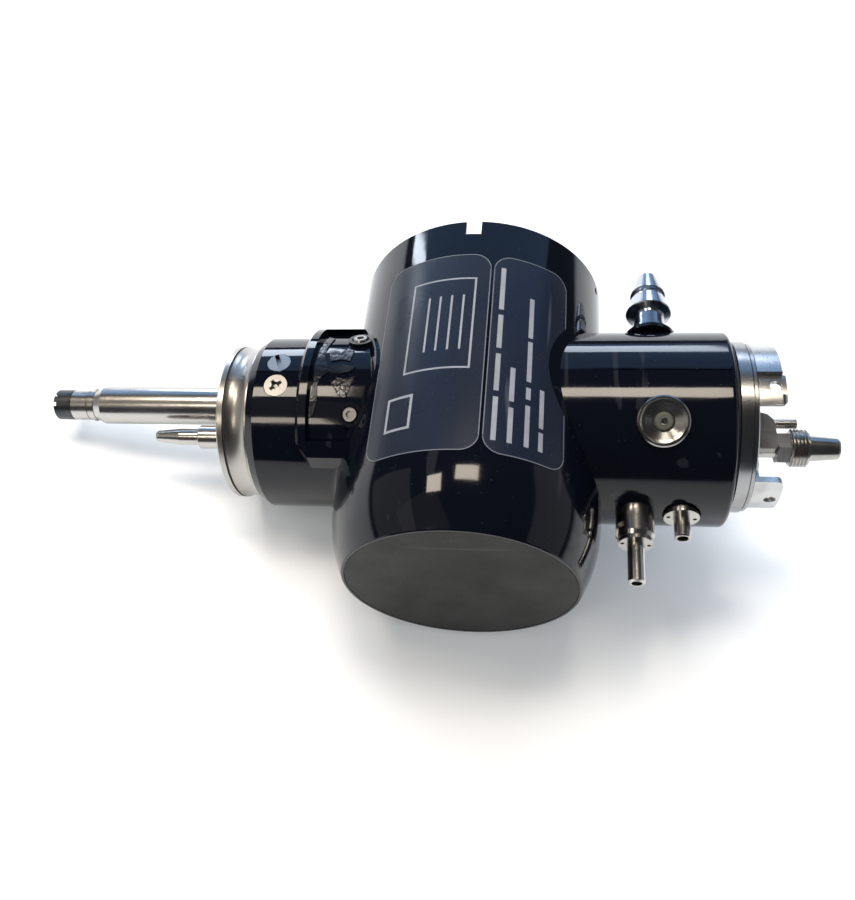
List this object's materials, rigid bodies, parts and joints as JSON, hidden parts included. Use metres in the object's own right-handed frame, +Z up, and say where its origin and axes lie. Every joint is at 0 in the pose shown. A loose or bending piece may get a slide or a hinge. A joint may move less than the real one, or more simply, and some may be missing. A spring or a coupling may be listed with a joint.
{
  "type": "endoscope light guide connector",
  "caption": "T-shaped endoscope connector: light guide rod and air pin at the plug end, round electrical socket, suction, air and water fittings, and a castellated cord end.",
  "frame": {"origin": "bottom centre of the whole connector's box as it lies on a table, resting on its socket barrel and plug shell", "axes": "+X towards the cord end, along the plug axis seen from above; +Y out of the electrical socket; +Z up from the table"},
  "size_m": [0.1856, 0.0784, 0.0613],
  "materials": {
    "black_case": "polished",
    "satin_steel": "satin",
    "polished_steel": "polished",
    "dark_steel": "matte",
    "black_rubber": "matte",
    "label_foil": "satin",
    "disc_plate": "matte",
    "insulator": "satin",
    "gold_contact": "polished",
    "board": "satin",
    "aluminium_parts": "satin",
    "cover_window": "polished",
    "fibre": "satin",
    "hose": "matte",
    "cable": "matte"
  },
  "bodies": {
    "connector": {"case_body": "black_case", "end_disc": "disc_plate", "plug_collar": "satin_steel", "collar_o_ring": "black_rubber", "plug_screw_slotted": "polished_steel", "plug_screw_cross": "polished_steel", "plug_block": "insulator", "light_guide_rod": "satin_steel", "nose_pins": "polished_steel", "air_pipe": "satin_steel", "saddle_bezel": "black_case", "bezel_screws": "polished_steel", "sealant_residue": "black_rubber", "left_label": "label_foil", "right_label": "label_foil", "contact_block": "insulator", "contact_pins": "gold_contact", "contact_board": "board", "connector_shell": "aluminium_parts", "barrel_seal": "black_rubber", "circuit_board": "board", "board_posts": "aluminium_parts", "board_screws": "polished_steel", "shield_can": "aluminium_parts", "ribbon_cable": "cable", "light_guide_bundle": "fibre", "bundle_sheath": "hose", "air_hose": "hose", "suction_tube": "hose", "water_tube": "hose", "air_tube": "hose", "signal_cable": "cable", "chassis_plate": "aluminium_parts", "chassis_screws": "polished_steel", "bulkhead": "aluminium_parts", "stud_screw": "satin_steel", "earth_terminal": "polished_steel", "ring_seal": "black_rubber", "end_ring": "satin_steel", "lug_frame": "satin_steel", "lug_pad": "polished_steel", "union_body": "satin_steel", "union_tube": "polished_steel", "nipple_seat": "black_rubber", "suction_nipple": "polished_steel", "water_sleeve": "polished_steel", "water_nut": "polished_steel", "water_pipe": "polished_steel", "air_nut": "polished_steel", "air_connector_pipe": "polished_steel", "cord_stud_ring": "satin_steel", "cord_stud_insulator": "insulator", "cord_stud_contact": "satin_steel", "cord_stud_nut": "satin_steel"},
    "cover_glass": {"cover_glass": "cover_window"},
    "tip_ring": {"tip_ring": "dark_steel"}
  },
  "joints": [
    {"name": "tip_ring_advance", "type": "slide", "parent": "connector", "child": "cover_glass", "axis": [-0.9797, 0, -0.2006], "range_m": [0, 0.002]},
    {"name": "tip_ring_turn", "type": "hinge", "parent": "cover_glass", "child": "tip_ring", "pos_m": [-0.08992, 0.0069, 0.00848], "axis": [-0.9797, 0, -0.2006], "range_deg": [0, 1440]}
  ],
  "couplings": [
    {"joint": "tip_ring_turn", "follows": "tip_ring_advance", "rad_per_m": 12566}
  ]
}
